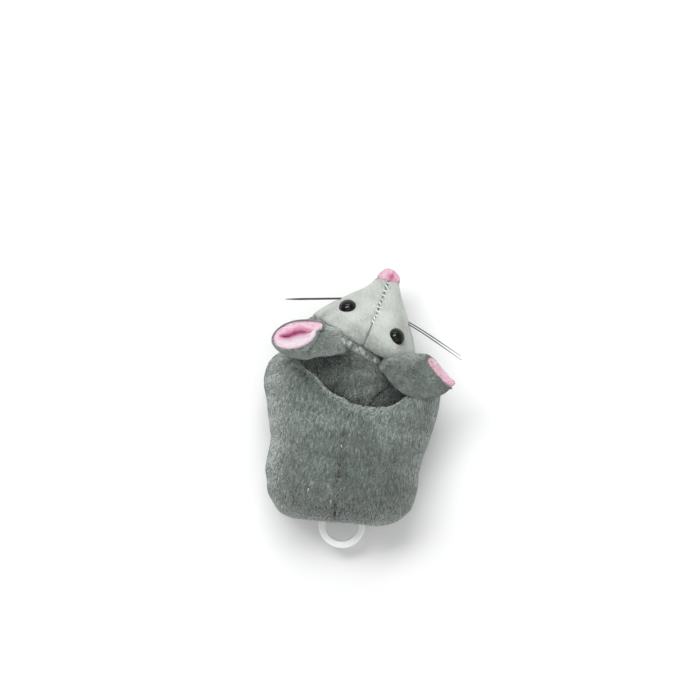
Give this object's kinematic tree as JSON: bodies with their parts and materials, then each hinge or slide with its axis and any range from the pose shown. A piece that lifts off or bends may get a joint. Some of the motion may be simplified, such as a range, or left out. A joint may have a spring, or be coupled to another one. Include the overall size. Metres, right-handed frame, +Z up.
{
  "type": "vibrating mouse cat toy",
  "caption": "Plush mouse for cats with a pull ring and cord at the rump: pulling the ring winds a spring that spins an eccentric weight in the belly.",
  "frame": {"origin": "on the flat of the belly that the toy rests on, below the mechanism", "axes": "+Y towards the nose, +X to the toy's right as seen from above, +Z up from the belly"},
  "size_m": [0.0729, 0.1077, 0.0426],
  "materials": {
    "plush_grey": "matte",
    "plush_pale": "matte",
    "plush_pink": "matte",
    "stuffing": "matte",
    "eye_black": "gloss",
    "washer_plastic": "satin",
    "whisker_filament": "satin",
    "case_plastic": "satin",
    "screw_steel": "satin",
    "pin_steel": "satin",
    "bush_brass": "satin",
    "drum_plastic": "satin",
    "spring_steel": "satin",
    "cord_white": "matte",
    "pinion_plastic": "satin",
    "weight_iron": "satin",
    "ring_white": "gloss"
  },
  "bodies": {
    "root": {"back_left_panel": "plush_grey", "back_right_panel": "plush_grey", "belly_panel": "plush_grey", "neck_left_panel": "plush_grey", "neck_right_panel": "plush_grey", "face_left_panel": "plush_pale", "face_right_panel": "plush_pale", "chin_panel": "plush_pale", "left_ear": "plush_grey", "right_ear": "plush_grey", "left_ear_lining": "plush_pink", "right_ear_lining": "plush_pink", "nose_cap": "plush_pink", "body_stuffing": "stuffing", "head_stuffing": "stuffing", "left_eye": "eye_black", "right_eye": "eye_black", "left_eye_washer": "washer_plastic", "right_eye_washer": "washer_plastic", "front_whisker": "whisker_filament", "rear_whisker": "whisker_filament", "case_lower": "case_plastic", "case_upper": "case_plastic", "case_screw_1": "screw_steel", "case_screw_2": "screw_steel", "case_screw_3": "screw_steel", "case_screw_4": "screw_steel", "drum_arbor": "pin_steel", "idler_pin": "pin_steel", "weight_pin": "pin_steel", "cord_bush": "bush_brass"},
    "drum": {"spring_drum": "drum_plastic", "drum_gear": "drum_plastic", "mainspring": "spring_steel", "cord_winding": "cord_white"},
    "idler": {"idler_gear": "pinion_plastic"},
    "weight": {"weight_pinion": "pinion_plastic", "eccentric_weight": "weight_iron"},
    "ring": {"pull_ring": "ring_white", "pull_cord": "cord_white"}
  },
  "joints": [
    {"name": "drum_spin", "type": "hinge", "parent": "root", "child": "drum", "pos_m": [-0.00415, -0.007, 0.014], "axis": [0, 0, -1], "range_deg": [0, 2046], "stiffness_Nm_per_rad": 0.0005, "springref_deg": -572.96},
    {"name": "idler_spin", "type": "hinge", "parent": "root", "child": "idler", "pos_m": [-0.00212, 0.00579, 0.0185], "axis": [0, 0, -1], "range_deg": [-6370, 0]},
    {"name": "weight_spin", "type": "hinge", "parent": "root", "child": "weight", "pos_m": [0.0094, 0.0066, 0.014], "axis": [0, 0, -1], "range_deg": [0, 16980]},
    {"name": "ring_pull", "type": "slide", "parent": "root", "child": "ring", "axis": [0, -1, 0], "range_m": [0, 0.25]}
  ],
  "couplings": [
    {"joint": "idler_spin", "follows": "drum_spin", "ratio": -3.1111},
    {"joint": "weight_spin", "follows": "drum_spin", "ratio": 8.2963},
    {"joint": "ring_pull", "follows": "drum_spin", "m_per_rad": 0.007}
  ]
}
